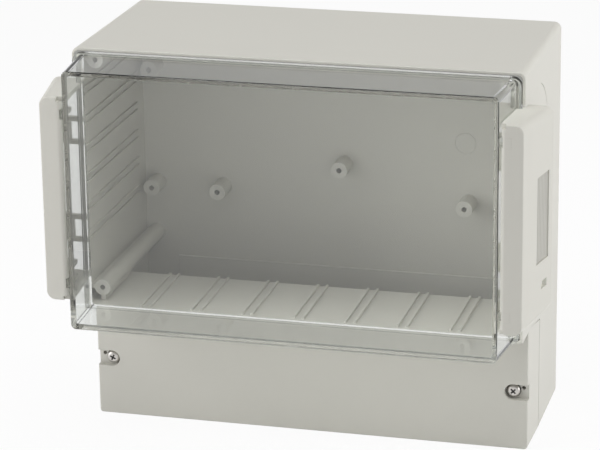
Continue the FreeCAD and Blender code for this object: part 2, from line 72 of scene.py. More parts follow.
def node_in(tree, kind, where, **sockets):
    """Adds a node and sets its sockets by name; a value that is another node's output is linked."""
    made = tree.nodes.new(kind)
    made.location = where
    for name, value in sockets.items():
        socket = made.inputs[name.replace("_", " ")]
        if isinstance(value, bpy.types.NodeSocket):
            tree.links.new(value, socket)
        else:
            socket.default_value = value
    return made


def new_material(name):
    """An empty material and its tree."""
    material = bpy.data.materials.new(name)
    material.use_nodes = True
    material.node_tree.nodes.clear()
    return material, material.node_tree


def moulded_plastic(name, colour, grain_size=0.45 * mm, grain_height=0.012 * mm, rough=0.46):
    """Satin thermoplastic: eroded grain, faint flow clouds and slightly uneven gloss."""
    material, tree = new_material(name)
    place = node_in(tree, "ShaderNodeTexCoord", (-1300, 0)).outputs["Object"]
    clouds = node_in(tree, "ShaderNodeTexNoise", (-1000, 300), Vector=place, Scale=1 / cloud_size,
                     Detail=3.0)
    grain = node_in(tree, "ShaderNodeTexNoise", (-1000, -300), Vector=place, Scale=1 / grain_size,
                    Detail=4.0, Roughness=0.6)
    tint = node_in(tree, "ShaderNodeMix", (-600, 300))
    tint.data_type = "RGBA"
    tree.links.new(clouds.outputs["Fac"], tint.inputs["Factor"])
    tint.inputs["A"].default_value = tuple(c * (1 - cloud_tint) for c in colour[:3]) + (1.0,)
    tint.inputs["B"].default_value = tuple(c * (1 + cloud_tint) for c in colour[:3]) + (1.0,)
    gloss = node_in(tree, "ShaderNodeMapRange", (-600, 0), Value=clouds.outputs["Fac"],
                    To_Min=rough - cloud_gloss, To_Max=rough + cloud_gloss)
    soft_edges = node_in(tree, "ShaderNodeBevel", (-800, -500), Radius=broken_edge)
    soft_edges.samples = 6
    bump = node_in(tree, "ShaderNodeBump", (-600, -300), Height=grain.outputs["Fac"], Strength=0.55,
                   Distance=grain_height, Normal=soft_edges.outputs["Normal"])
    surface = node_in(tree, "ShaderNodeBsdfPrincipled", (-200, 0), Base_Color=tint.outputs["Result"],
                      Roughness=gloss.outputs["Result"], Normal=bump.outputs["Normal"], IOR=1.5)
    node_in(tree, "ShaderNodeOutputMaterial", (200, 0), Surface=surface.outputs["BSDF"])
    return material


def evaluated(piece):
    """The mesh that a piece's modifiers give; they are taken off it."""
    bpy.context.view_layer.update()
    seen = piece.evaluated_get(bpy.context.evaluated_depsgraph_get())
    mesh = bpy.data.meshes.new_from_object(seen)
    piece.modifiers.clear()
    return mesh


def moulded_copy(node, name, body, material, edit=None, bites=None):
    """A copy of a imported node's mesh in its own material, with its flat faces shaded flat.

    edit is a function that moves the copy's points first, and bites is an object that is cut away.
    """
    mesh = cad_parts[node].data.copy()
    piece = bpy.data.objects.new(name, mesh)
    bpy.context.scene.collection.objects.link(piece)
    build = bmesh.new()
    build.from_mesh(mesh)
    if edit:
        edit(build)
    bmesh.ops.remove_doubles(build, verts=build.verts, dist=weld_distance)
    build.to_mesh(mesh)
    build.free()
    if mesh.attributes.get("custom_normal"):
        mesh.attributes.remove(mesh.attributes["custom_normal"])
    if bites:
        cut = piece.modifiers.new("bites", "BOOLEAN")
        cut.operation = "DIFFERENCE"
        cut.solver = "EXACT"
        cut.object = bites
        piece.data = mesh = evaluated(piece)
        bpy.data.objects.remove(bites)
    mesh.name = name
    mesh.shade_smooth()
    mesh.set_sharp_from_angle(angle=sharp_angle)
    flat = piece.modifiers.new("flat faces stay flat", "WEIGHTED_NORMAL")
    flat.mode = "FACE_AREA"
    flat.weight = 100
    flat.keep_sharp = True
    mesh.materials.clear()
    mesh.materials.append(material)
    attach(piece, body)
    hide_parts(node)
    return piece


housing_plastic = moulded_plastic("housing_plastic", housing_grey)
moulded_copy("base", "base_moulding", "housing", housing_plastic)

# The seals are soft polyurethane foam. One bead is poured into the groove of the rim and one runs
# round the back edge of the terminal cover. Both are a light grey with a closed, matt skin.
foam_grey = (0.42, 0.42, 0.40, 1.0)
poured_groove_width = 1.6 * mm
terminal_bead_width = 2.0 * mm
bead_corner_r = 1.6 * mm
foam_cell = 0.5 * mm
foam_dimple = 0.04 * mm
seam_distance = 0.0005 * mm
bead_edge_share = 0.3


def soft_foam(name, colour):
    """Closed-skin foam or rubber: matt, with a finely dimpled surface."""
    material, tree = new_material(name)
    place = node_in(tree, "ShaderNodeTexCoord", (-900, 0)).outputs["Object"]
    cells = node_in(tree, "ShaderNodeTexVoronoi", (-600, -200), Vector=place, Scale=1 / foam_cell)
    bump = node_in(tree, "ShaderNodeBump", (-300, -200), Height=cells.outputs["Distance"], Strength=0.5,
                   Distance=foam_dimple)
    surface = node_in(tree, "ShaderNodeBsdfPrincipled", (0, 0), Base_Color=colour, Roughness=0.8,
                      Normal=bump.outputs["Normal"])
    node_in(tree, "ShaderNodeOutputMaterial", (300, 0), Surface=surface.outputs["BSDF"])
    return material


def start_tree(name, **sizes):
    """An empty Geometry Nodes tree with one named input for each size; gives the tree and its inputs."""
    tree = bpy.data.node_groups.new(name, "GeometryNodeTree")
    tree.interface.new_socket("Geometry", in_out="OUTPUT", socket_type="NodeSocketGeometry")
    for label, value in sizes.items():
        kind = "NodeSocketInt" if isinstance(value, int) else "NodeSocketFloat"
        socket = tree.interface.new_socket(label.replace("_", " "), in_out="INPUT", socket_type=kind)
        socket.default_value = value
    return tree, node_in(tree, "NodeGroupInput", (-1400, 0)).outputs


def maths(tree, operation, first, second):
    """One piece of arithmetic in a tree."""
    made = tree.nodes.new("ShaderNodeMath")
    made.operation = operation
    for socket, value in zip(made.inputs, (first, second)):
        if isinstance(value, bpy.types.NodeSocket):
            tree.links.new(value, socket)
        else:
            socket.default_value = value
    return made.outputs[0]


def end_tree(tree, shape, material):
    """Realizes what the tree made, gives it its material and sends it out."""
    whole = node_in(tree, "GeometryNodeRealizeInstances", (900, 0), Geometry=shape)
    painted = node_in(tree, "GeometryNodeSetMaterial", (1100, 0), Geometry=whole.outputs["Geometry"])
    painted.inputs["Material"].default_value = material
    node_in(tree, "NodeGroupOutput", (1300, 0), Geometry=painted.outputs["Geometry"])


def grown(name, tree, place, body, node, slot, **sizes):
    """Runs a tree with the given sizes and keeps the result as a plain mesh that rides on a body."""
    maker = bpy.data.objects.new(name + "_maker", bpy.data.meshes.new(name + "_maker"))
    bpy.context.scene.collection.objects.link(maker)
    growth = maker.modifiers.new("growth", "NODES")
    growth.node_group = tree
    for socket in tree.interface.items_tree:
        if socket.in_out == "INPUT" and socket.name.replace(" ", "_") in sizes:
            growth[socket.identifier] = sizes[socket.name.replace(" ", "_")]
    mesh = evaluated(maker)
    bpy.data.objects.remove(maker)
    mesh.name = name
    mesh.transform(place)
    build = bmesh.new()
    build.from_mesh(mesh)
    bmesh.ops.remove_doubles(build, verts=build.verts, dist=seam_distance)
    bmesh.ops.recalc_face_normals(build, faces=build.faces)
    build.to_mesh(mesh)
    build.free()
    mesh.shade_smooth()
    mesh.set_sharp_from_angle(angle=sharp_angle)
    piece = bpy.data.objects.new(name, mesh)
    bpy.context.scene.collection.objects.link(piece)
    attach(piece, body)
    if node:
        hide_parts(node)
    return piece


def bead_along(tree, path, width, height):
    """A bead with rounded edges, swept along a flat path; its width lies in the path's plane."""
    level = node_in(tree, "GeometryNodeSetCurveNormal", (0, 200), Curve=path)
    level.mode = "Z_UP"
    section = node_in(tree, "GeometryNodeCurvePrimitiveQuadrilateral", (-300, -200), Width=width,
                      Height=height)
    rounded = node_in(tree, "GeometryNodeFilletCurve", (0, -200), Curve=section.outputs["Curve"],
                      Radius=maths(tree, "MULTIPLY", height, bead_edge_share))
    rounded.mode = "POLY"
    rounded.inputs["Count"].default_value = 4
    swept = node_in(tree, "GeometryNodeCurveToMesh", (300, 0), Curve=level.outputs["Curve"],
                    Profile_Curve=rounded.outputs["Curve"])
    return swept.outputs["Mesh"]


def facing_front(x, y, z):
    """Turns what was made on its back, Z up, to face the front and puts it in its place."""
    return Matrix.Translation((x, y, z)) @ Matrix.Rotation(math.pi / 2, 4, "X")


foam = soft_foam("seal_foam", foam_grey)
tree, size = start_tree("foam_bead", Width=0.2, Height=0.1, Corner=bead_corner_r,
                        Bead_width=poured_groove_width, Bead_height=1.5 * mm)
run = node_in(tree, "GeometryNodeCurvePrimitiveQuadrilateral", (-900, 200),
              Width=maths(tree, "SUBTRACT", size["Width"], size["Bead width"]),
              Height=maths(tree, "SUBTRACT", size["Height"], size["Bead width"]))
corners = node_in(tree, "GeometryNodeFilletCurve", (-600, 200), Curve=run.outputs["Curve"],
                  Radius=size["Corner"])
corners.mode = "POLY"
corners.inputs["Count"].default_value = 8
end_tree(tree, bead_along(tree, corners.outputs["Curve"], size["Bead width"], size["Bead height"]), foam)
for node, bead_width in (("cover_seal", poured_groove_width), ("terminal_seal", terminal_bead_width)):
    low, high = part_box(node)
    grown(node + "_bead", tree, facing_front(*((low + high) / 2)), "housing", node, "seal",
          Width=high.x - low.x, Height=high.z - low.z, Corner=bead_corner_r, Bead_width=bead_width,
          Bead_height=high.y - low.y)

# The clear cover is one polycarbonate moulding with 3 mm walls and a flange that lies over the
# seal. It is polished inside and out and very faintly grey. Its lugs hang in the clips.
clear_tint = (0.955, 0.965, 0.955, 1.0)
polycarbonate_ior = 1.585
surface_wave = 70 * mm


def clear_polycarbonate(name, tint):
    """Clear plastic that bends what is seen through it and lets the lamps in."""
    material, tree = new_material(name)
    place = node_in(tree, "ShaderNodeTexCoord", (-1100, 0)).outputs["Object"]
    waves = node_in(tree, "ShaderNodeTexNoise", (-800, -200), Vector=place, Scale=1 / surface_wave,
                    Detail=1.0)
    bump = node_in(tree, "ShaderNodeBump", (-500, -200), Height=waves.outputs["Fac"], Strength=0.1,
                   Distance=0.1 * mm)
    glass = node_in(tree, "ShaderNodeBsdfPrincipled", (-200, 100), Base_Color=tint, Roughness=0.012,
                    IOR=polycarbonate_ior, Transmission_Weight=1.0, Normal=bump.outputs["Normal"])
    open_to_lamps = node_in(tree, "ShaderNodeBsdfTransparent", (-200, -300), Color=tint)
    rays = node_in(tree, "ShaderNodeLightPath", (-200, 400))
    mix = node_in(tree, "ShaderNodeMixShader", (150, 0))
    for socket, value in zip(mix.inputs, (rays.outputs["Is Shadow Ray"], glass.outputs["BSDF"],
                                          open_to_lamps.outputs["BSDF"])):
        tree.links.new(value, socket)
    node_in(tree, "ShaderNodeOutputMaterial", (400, 0), Surface=mix.outputs["Shader"])
    return material


window_inner_y = -150.8 * mm
window_thinned_y = -151.2 * mm
window_half_width = 118.0 * mm
level_tolerance = 0.05 * mm
pivot = Vector((125.19, -151.2)) * mm
lug_heights = (-12.3 * mm, 85.8 * mm)
lug_half = 2.6 * mm
neck_inner_x = 121.95 * mm
neck_front_y = -153.7 * mm
neck_relief = 0.3 * mm


def level_window(build):
    """Brings the thinned middle of the window level with its border."""
    for point in build.verts:
        thinned = abs(point.co.y - window_thinned_y) < level_tolerance
        if thinned and abs(point.co.x) < window_half_width:
            point.co.y = window_inner_y


def blocks(name, corners):
    """One object made of upright blocks, each between two corners."""
    build = bmesh.new()
    for low, high in corners:
        size = Vector(high) - Vector(low)
        middle = (Vector(high) + Vector(low)) / 2
        place = Matrix.Translation(middle) @ Matrix.Diagonal(size).to_4x4()
        bmesh.ops.create_cube(build, size=1.0, matrix=place)
    mesh = bpy.data.meshes.new(name)
    build.to_mesh(mesh)
    build.free()
    made = bpy.data.objects.new(name, mesh)
    bpy.context.scene.collection.objects.link(made)
    return made


# the front half of each lug's neck is open, so that the clip's bead can turn round it
neck_fronts = []
for z in lug_heights:
    for x0, x1 in ((neck_inner_x, pivot.x), (-pivot.x, -neck_inner_x)):
        neck_fronts.append(((x0, neck_front_y, z - lug_half), (x1, pivot.y + neck_relief, z + lug_half)))
moulded_copy("cover", "clear_cover", "front_cover",
             clear_polycarbonate("clear_polycarbonate", clear_tint), edit=level_window,
             bites=blocks("neck_fronts", neck_fronts))

# Each clip turns on two turned steel pins with rounded ends. The pins are pressed into the clip's
# front bead and run through the lugs of the clear cover.
steel_grey = (0.58, 0.56, 0.53, 1.0)
pin_length = 12.0 * mm
pin_end_round = 0.4 * mm
pin_r = 1.2 * mm
turning_mark = 0.3 * mm
metal_gloss = 0.08


def worked_metal(name, colour, rough):
    """Bare or plated metal with fine turning marks."""
    material, tree = new_material(name)
    place = node_in(tree, "ShaderNodeTexCoord", (-900, 0)).outputs["Object"]
    marks = node_in(tree, "ShaderNodeTexNoise", (-600, 0), Vector=place, Scale=1 / turning_mark, Detail=3.0)
    gloss = node_in(tree, "ShaderNodeMapRange", (-300, 0), Value=marks.outputs["Fac"],
                    To_Min=rough - metal_gloss, To_Max=rough + metal_gloss)
    bump = node_in(tree, "ShaderNodeBump", (-300, -300), Height=marks.outputs["Fac"], Strength=0.3,
                   Distance=0.01 * mm)
    surface = node_in(tree, "ShaderNodeBsdfPrincipled", (0, 0), Base_Color=colour, Metallic=1.0,
                      Roughness=gloss.outputs["Result"], Normal=bump.outputs["Normal"])
    node_in(tree, "ShaderNodeOutputMaterial", (300, 0), Surface=surface.outputs["BSDF"])
    return material


def turned(tree, profile, radius, height, sides=32):
    """A piece turned about Z. The profile's points are shares of the radius and of the height."""
    line = node_in(tree, "GeometryNodeMeshLine", (-1100, -500), Count=len(profile))
    number = node_in(tree, "GeometryNodeInputIndex", (-1300, -700))
    point = tree.nodes.new("GeometryNodeIndexSwitch")
    point.location = (-1100, -700)
    point.data_type = "VECTOR"
    while len(point.index_switch_items) < len(profile):
        point.index_switch_items.new()
    tree.links.new(number.outputs["Index"], point.inputs["Index"])
    for i, (share_out, share_up) in enumerate(profile):
        point.inputs[1 + i].default_value = (share_out - 1.0, -share_up, 0.0)
    placed = node_in(tree, "GeometryNodeSetPosition", (-800, -500), Geometry=line.outputs["Mesh"],
                     Position=point.outputs["Output"])
    row = node_in(tree, "GeometryNodeMeshToCurve", (-600, -500), Mesh=placed.outputs["Geometry"])
    turn = node_in(tree, "GeometryNodeCurvePrimitiveCircle", (-800, -200), Resolution=sides, Radius=1.0)
    level = node_in(tree, "GeometryNodeSetCurveNormal", (-600, -200), Curve=turn.outputs["Curve"])
    level.mode = "Z_UP"
    spun = node_in(tree, "GeometryNodeCurveToMesh", (-400, -300), Curve=level.outputs["Curve"],
                   Profile_Curve=row.outputs["Curve"])
    joined = node_in(tree, "GeometryNodeMergeByDistance", (-200, -300), Geometry=spun.outputs["Mesh"],
                     Distance=0.0001)
    scale = node_in(tree, "ShaderNodeCombineXYZ", (-200, -600), X=radius, Y=radius, Z=height)
    sized = node_in(tree, "GeometryNodeTransform", (0, -300), Geometry=joined.outputs["Geometry"],
                    Scale=scale.outputs["Vector"])
    return sized.outputs["Geometry"]


steel = worked_metal("plated_steel", steel_grey, 0.34)
tree, size = start_tree("pivot_pins", Count=2, Pitch=0.1, Radius=pin_r, Length=pin_length)
end = pin_end_round / pin_length
pin_profile = [(0, 0), (0.6, 0), (0.9, 0.4 * end), (1, end), (1, 1 - end), (0.9, 1 - 0.4 * end), (0.6, 1),
               (0, 1)]
pin = turned(tree, pin_profile, size["Radius"], size["Length"])
step = node_in(tree, "ShaderNodeCombineXYZ", (200, 200), Z=size["Pitch"])
places = node_in(tree, "GeometryNodeMeshLine", (400, 200), Count=size["Count"], Offset=step.outputs["Vector"])
row = node_in(tree, "GeometryNodeInstanceOnPoints", (600, 0), Points=places.outputs["Mesh"], Instance=pin)
end_tree(tree, row.outputs["Instances"], steel)
for side in ("right", "left"):
    low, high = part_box(f"clip_pins_{side}")
    middle = (low + high) / 2
    grown(f"{side}_pins", tree, Matrix.Translation((middle.x, middle.y, low.z)), f"{side}_clip",
          f"clip_pins_{side}", "steel", Pitch=high.z - low.z - pin_length, Radius=(high.x - low.x) / 2,
          Length=pin_length, Count=2)

# Each clip is a flared channel in the housing's plastic with a round bead at its front edge and
# hooks that catch the bars on the base's side. A finger rests on the sunk field in its flared
# wall, which has a coarser grain and fine upright ridges.
# The field's grey is the housing's grey made a fifth darker: painted shade, for the shade that falls in the
# sunk field between its ridges.
field_painted_shade_grey = tuple(c * 0.80 for c in housing_grey[:3]) + (1.0,)
field_back = Vector((141.18, -115.5)) * mm
field_front = Vector((137.94, -133.0)) * mm
field_low, field_high = 11.5 * mm, 61.0 * mm
field_clear = 0.15 * mm
field_thickness = 0.1 * mm
ridge_share = 0.48
ridge_pitch = 2.2 * mm
ridge_height = 0.22 * mm

# the field's material carries that painted shade in its colour
field_plastic = moulded_plastic("field_plastic", field_painted_shade_grey, 0.3 * mm, 0.03 * mm, 0.6)
tree, size = start_tree("grip_field", Width=17.0 * mm, Height=49.0 * mm, Thickness=field_thickness,
                        Pitch=ridge_pitch, Ridge=ridge_height)
floor_size = node_in(tree, "ShaderNodeCombineXYZ", (-900, 300), X=size["Width"], Y=size["Height"],
                     Z=size["Thickness"])
field_floor = node_in(tree, "GeometryNodeMeshCube", (-700, 300), Size=floor_size.outputs["Vector"])
ridge_count = maths(tree, "FLOOR", maths(tree, "DIVIDE", size["Width"], size["Pitch"]), 0.0)
ridge_section = node_in(tree, "GeometryNodeCurvePrimitiveCircle", (-900, -300), Resolution=12,
                        Radius=size["Ridge"])
half_height = maths(tree, "MULTIPLY", size["Height"], ridge_share)
ridge_low = node_in(tree, "ShaderNodeCombineXYZ", (-900, -100), Y=maths(tree, "MULTIPLY", half_height, -1.0))
ridge_high = node_in(tree, "ShaderNodeCombineXYZ", (-900, -200), Y=half_height)
ridge_line = node_in(tree, "GeometryNodeCurvePrimitiveLine", (-700, -100), Start=ridge_low.outputs["Vector"],
                     End=ridge_high.outputs["Vector"])
ridge = node_in(tree, "GeometryNodeCurveToMesh", (-500, -200), Curve=ridge_line.outputs["Curve"],
                Profile_Curve=ridge_section.outputs["Curve"], Fill_Caps=True)
pitches = maths(tree, "SUBTRACT", ridge_count, 1.0)
first_x = maths(tree, "MULTIPLY", maths(tree, "MULTIPLY", pitches, size["Pitch"]), -0.5)
first = node_in(tree, "ShaderNodeCombineXYZ", (-500, 100), X=first_x)
step = node_in(tree, "ShaderNodeCombineXYZ", (-500, 0), X=size["Pitch"])
places = node_in(tree, "GeometryNodeMeshLine", (-300, 100), Count=ridge_count,
                 Start_Location=first.outputs["Vector"], Offset=step.outputs["Vector"])
ridges = node_in(tree, "GeometryNodeInstanceOnPoints", (-100, 0), Points=places.outputs["Mesh"],
                 Instance=ridge.outputs["Mesh"])
both = node_in(tree, "GeometryNodeJoinGeometry", (300, 0))
tree.links.new(field_floor.outputs["Mesh"], both.inputs["Geometry"])
tree.links.new(ridges.outputs["Instances"], both.inputs["Geometry"])
end_tree(tree, both.outputs["Geometry"], field_plastic)

bead_r = 2.6 * mm
bead_bore_r = 2.4 * mm
bead_end_angle = math.radians(-130)
bead_reach = 3.26 * mm
bead_piece_half = 2.95 * mm
outer_steps, inner_steps = 10, 24


def bead_over_lugs(side, hand):
    """The round front bead runs on in front of each lug as a thin shell."""
    turns = [bead_end_angle + (math.radians(-90) - bead_end_angle) * i / outer_steps
             for i in range(outer_steps + 1)]
    inner = [bead_end_angle * (1 - i / inner_steps) for i in range(inner_steps + 1)]
    line = [(bead_r * math.cos(a), bead_r * math.sin(a)) for a in turns]
    line += [(bead_reach, -bead_r), (bead_reach, 0.0)]
    line += [(bead_bore_r * math.cos(a), bead_bore_r * math.sin(a)) for a in reversed(inner)]
    build = bmesh.new()
    for z in lug_heights:
        low = [build.verts.new(((pivot.x + x) * hand, pivot.y + y, z - bead_piece_half)) for x, y in line]
        face = build.faces.new(low)
        raised = bmesh.ops.extrude_face_region(build, geom=[face])["geom"]
        top = [part for part in raised if isinstance(part, bmesh.types.BMVert)]
        bmesh.ops.translate(build, verts=top, vec=(0.0, 0.0, 2 * bead_piece_half))
    bmesh.ops.recalc_face_normals(build, faces=build.faces)
    mesh = bpy.data.meshes.new(f"{side}_bead_fronts")
    build.to_mesh(mesh)
    build.free()
    mesh.shade_smooth()
    mesh.set_sharp_from_angle(angle=sharp_angle)
    mesh.materials.append(housing_plastic)
    piece = bpy.data.objects.new(f"{side}_bead_fronts", mesh)
    bpy.context.scene.collection.objects.link(piece)
    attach(piece, f"{side}_clip")


for side, hand in (("right", 1), ("left", -1)):
    moulded_copy(f"clip_{side}", f"{side}_clip_moulding", f"{side}_clip", housing_plastic)
    along = Vector(((field_front.x - field_back.x) * hand, field_front.y - field_back.y, 0.0)).normalized()
    up = Vector((0.0, 0.0, -hand))
    out = along.cross(up)
    middle = (field_back + field_front) / 2
    centre = Vector((middle.x * hand, middle.y, (field_low + field_high) / 2)) + out * field_thickness / 2
    place = Matrix((along, up, out)).transposed().to_4x4()
    place.translation = centre
    bead_over_lugs(side, hand)
    grown(f"{side}_grip_field", tree, place, f"{side}_clip", None, "housing",
          Width=(field_front - field_back).length - field_clear, Height=field_high - field_low - field_clear,
          Thickness=field_thickness, Pitch=ridge_pitch, Ridge=ridge_height)

# The terminal cover is a deep lid in the housing's plastic. Its top slopes down to the joint, and
# two captive screws hold it in pockets that open to the sides.
moulded_copy("terminal_cover", "terminal_cover_moulding", "housing", housing_plastic)

# Threaded brass inserts are pressed hot into the pillars behind the terminal cover. They are turned
# with a groove and knurled so that the plastic holds them.
brass_yellow = (0.78, 0.57, 0.27, 1.0)
insert_r = 2.6 * mm
insert_bore_r = 2.05 * mm
insert_length = 9.0 * mm
knurl_count = 24
knurl_tooth = 0.35 * mm
knurl_ring_share = 0.985
tooth_share, low_ring_share, ring_step_share = 0.4, 0.23, 0.54

brass = worked_metal("turned_brass", brass_yellow, 0.3)
tree, size = start_tree("knurled_insert", Radius=insert_r, Length=insert_length, Teeth=knurl_count,
                        Tooth=knurl_tooth)
bore = insert_bore_r / insert_r
insert_profile = [(bore, 0), (0.96, 0), (1, 0.03), (1, 0.44), (0.93, 0.45), (0.93, 0.55), (1, 0.56),
                  (1, 0.97), (0.96, 1), (bore, 1), (bore, 0)]
body = turned(tree, insert_profile, size["Radius"], size["Length"])
rim = node_in(tree, "GeometryNodeCurvePrimitiveCircle", (-300, 400), Resolution=size["Teeth"],
              Radius=maths(tree, "MULTIPLY", size["Radius"], knurl_ring_share))
tooth_size = node_in(tree, "ShaderNodeCombineXYZ", (-500, 700), X=size["Tooth"], Y=size["Tooth"],
                     Z=maths(tree, "MULTIPLY", size["Length"], tooth_share))
tooth = node_in(tree, "GeometryNodeMeshCube", (-300, 700), Size=tooth_size.outputs["Vector"])
tooth_lift = node_in(tree, "ShaderNodeCombineXYZ", (-300, 900),
                     Z=maths(tree, "MULTIPLY", size["Length"], low_ring_share))
low_tooth = node_in(tree, "GeometryNodeTransform", (-100, 700), Geometry=tooth.outputs["Mesh"],
                    Translation=tooth_lift.outputs["Vector"])
low_ring = node_in(tree, "GeometryNodeInstanceOnPoints", (100, 500), Points=rim.outputs["Curve"],
                   Instance=low_tooth.outputs["Geometry"])
ring_step = node_in(tree, "ShaderNodeCombineXYZ", (100, 800),
                    Z=maths(tree, "MULTIPLY", size["Length"], ring_step_share))
high_ring = node_in(tree, "GeometryNodeTransform", (300, 600), Geometry=low_ring.outputs["Instances"],
                    Translation=ring_step.outputs["Vector"])
both = node_in(tree, "GeometryNodeJoinGeometry", (600, 0))
for part in (body, low_ring.outputs["Instances"], high_ring.outputs["Geometry"]):
    tree.links.new(part, both.inputs["Geometry"])
end_tree(tree, both.outputs["Geometry"], brass)
for side in ("right", "left"):
    low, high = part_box(f"insert_{side}")
    place = facing_front((low.x + high.x) / 2, high.y, (low.z + high.z) / 2)
    grown(f"{side}_insert", tree, place, "housing", f"insert_{side}", "insert_brass", Radius=insert_r,
          Length=high.y - low.y, Teeth=knurl_count, Tooth=knurl_tooth)

# The captive screws are zinc-plated, with a domed pan head and a cross recess. Only the last part
# of the shank has a thread, which keeps them in the cover when they are loose.
screw_r = 2.0 * mm
thread_root_r = 1.6 * mm
thread_pitch = 0.7 * mm
thread_length = 12.0 * mm
thread_clear_low, thread_clear_both = 0.6 * mm, 1.0 * mm
shank_r = 1.75 * mm
head_r = 3.8 * mm
head_height = 2.2 * mm
screw_turn = {"right": 45.0, "left": 65.0}
# the recess is cut at a scale of one unit to the millimetre, so its sizes are in plain millimetres
recess_depth = 1.6
# The recess walls get a steel far darker than the head: mostly painted shade in the hollow, with a slight
# oxide.
painted_shade_recess_grey = (0.16, 0.155, 0.15, 1.0)
wing_span, wing_width, wing_height = 5.2, 0.95, 2 * recess_depth + 3.0
tip_r, tip_end_r, tip_height = 2.6, 0.5, recess_depth + 0.8

recess_painted_shade_metal = worked_metal("recess_steel", painted_shade_recess_grey, 0.5)
tree, size = start_tree("captive_screw", Head_radius=head_r, Head_height=head_height, Shank_radius=shank_r,
                        Root_radius=thread_root_r, Length=40.0 * mm, Thread_length=thread_length,
                        Thread_pitch=thread_pitch, Thread_radius=screw_r)
head_profile = [(0, 0), (0.93, 0), (1, 0.07), (1, 0.30), (0.97, 0.48), (0.88, 0.70), (0.72, 0.88),
                (0.5, 0.97), (0.25, 1.0), (0, 1.0)]
head = turned(tree, head_profile, size["Head radius"], size["Head height"], 48)
in_mm = node_in(tree, "GeometryNodeTransform", (200, -300), Geometry=head, Scale=(1 / mm,) * 3)
point = node_in(tree, "GeometryNodeMeshCone", (-200, 400), Vertices=32, Radius_Top=tip_r,
                Radius_Bottom=tip_end_r, Depth=tip_height)
wing = node_in(tree, "GeometryNodeMeshCube", (-200, 700), Size=(wing_span, wing_width, wing_height))
wing_across = node_in(tree, "GeometryNodeMeshCube", (-200, 900), Size=(wing_width, wing_span, wing_height))
cross = node_in(tree, "GeometryNodeMeshBoolean", (0, 700))
cross.operation = "UNION"
cross.solver = "EXACT"
for wing_made in (wing, wing_across):
    tree.links.new(wing_made.outputs["Mesh"], cross.inputs["Mesh 2"])
driver_tip = node_in(tree, "GeometryNodeMeshBoolean", (200, 600))
driver_tip.operation = "INTERSECT"
driver_tip.solver = "EXACT"
for shape in (cross.outputs["Mesh"], point.outputs["Mesh"]):
    tree.links.new(shape, driver_tip.inputs["Mesh 2"])
# the walls of the recess take the dark steel that carries the painted shade
painted_shade_tip = node_in(tree, "GeometryNodeSetMaterial", (400, 600), Geometry=driver_tip.outputs["Mesh"])
painted_shade_tip.inputs["Material"].default_value = recess_painted_shade_metal
lowered = node_in(tree, "GeometryNodeTransform", (600, 600), Geometry=painted_shade_tip.outputs["Geometry"],
                  Translation=(0, 0, head_height / mm - recess_depth))
bright_head = node_in(tree, "GeometryNodeSetMaterial", (400, 0), Geometry=in_mm.outputs["Geometry"])
bright_head.inputs["Material"].default_value = steel
sunk = node_in(tree, "GeometryNodeMeshBoolean", (800, 300))
sunk.operation = "DIFFERENCE"
sunk.solver = "EXACT"
tree.links.new(bright_head.outputs["Geometry"], sunk.inputs["Mesh 1"])
tree.links.new(lowered.outputs["Geometry"], sunk.inputs["Mesh 2"])
in_metres = node_in(tree, "GeometryNodeTransform", (1000, 300), Geometry=sunk.outputs["Mesh"],
                    Scale=(mm,) * 3)
plain_length = maths(tree, "SUBTRACT", size["Length"], size["Thread length"])
shank = turned(tree, [(0, 0), (1, 0), (1, 1), (0, 1)], size["Shank radius"], plain_length)
shank_drop = node_in(tree, "ShaderNodeCombineXYZ", (0, -900), Z=maths(tree, "MULTIPLY", plain_length, -1.0))
shank_low = node_in(tree, "GeometryNodeTransform", (200, -900), Geometry=shank,
                    Translation=shank_drop.outputs["Vector"])
core = turned(tree, [(0, 0), (0.7, 0), (1, 0.05), (1, 1), (0, 1)], size["Root radius"], size["Thread length"])
core_drop = node_in(tree, "ShaderNodeCombineXYZ", (0, -1200), Z=maths(tree, "MULTIPLY", size["Length"], -1.0))
core_low = node_in(tree, "GeometryNodeTransform", (200, -1200), Geometry=core,
                   Translation=core_drop.outputs["Vector"])
crest_height = maths(tree, "SUBTRACT", size["Thread radius"], size["Root radius"])
spiral_length = maths(tree, "SUBTRACT", size["Thread length"], thread_clear_both)
spiral = node_in(tree, "GeometryNodeCurveSpiral", (-200, -1500), Resolution=24,
                 Rotations=maths(tree, "DIVIDE", spiral_length, size["Thread pitch"]),
                 Start_Radius=size["Root radius"], End_Radius=size["Root radius"], Height=spiral_length)
crest = node_in(tree, "GeometryNodeCurvePrimitiveCircle", (-200, -1700), Resolution=4, Radius=crest_height)
thread = node_in(tree, "GeometryNodeCurveToMesh", (0, -1500), Curve=spiral.outputs["Curve"],
                 Profile_Curve=crest.outputs["Curve"], Fill_Caps=True)
thread_drop = node_in(tree, "ShaderNodeCombineXYZ", (0, -1700),
                      Z=maths(tree, "SUBTRACT", thread_clear_low, size["Length"]))
thread_low = node_in(tree, "GeometryNodeTransform", (200, -1500), Geometry=thread.outputs["Mesh"],
                     Translation=thread_drop.outputs["Vector"])
shaft = node_in(tree, "GeometryNodeJoinGeometry", (500, -1000))
for part in (shank_low, core_low, thread_low):
    tree.links.new(part.outputs["Geometry"], shaft.inputs["Geometry"])
bright_shaft = node_in(tree, "GeometryNodeSetMaterial", (700, -1000), Geometry=shaft.outputs["Geometry"])
bright_shaft.inputs["Material"].default_value = steel
both = node_in(tree, "GeometryNodeJoinGeometry", (1200, 0))
for part in (in_metres, bright_shaft):
    tree.links.new(part.outputs["Geometry"], both.inputs["Geometry"])
whole = node_in(tree, "GeometryNodeRealizeInstances", (1400, 0), Geometry=both.outputs["Geometry"])
node_in(tree, "NodeGroupOutput", (1600, 0), Geometry=whole.outputs["Geometry"])
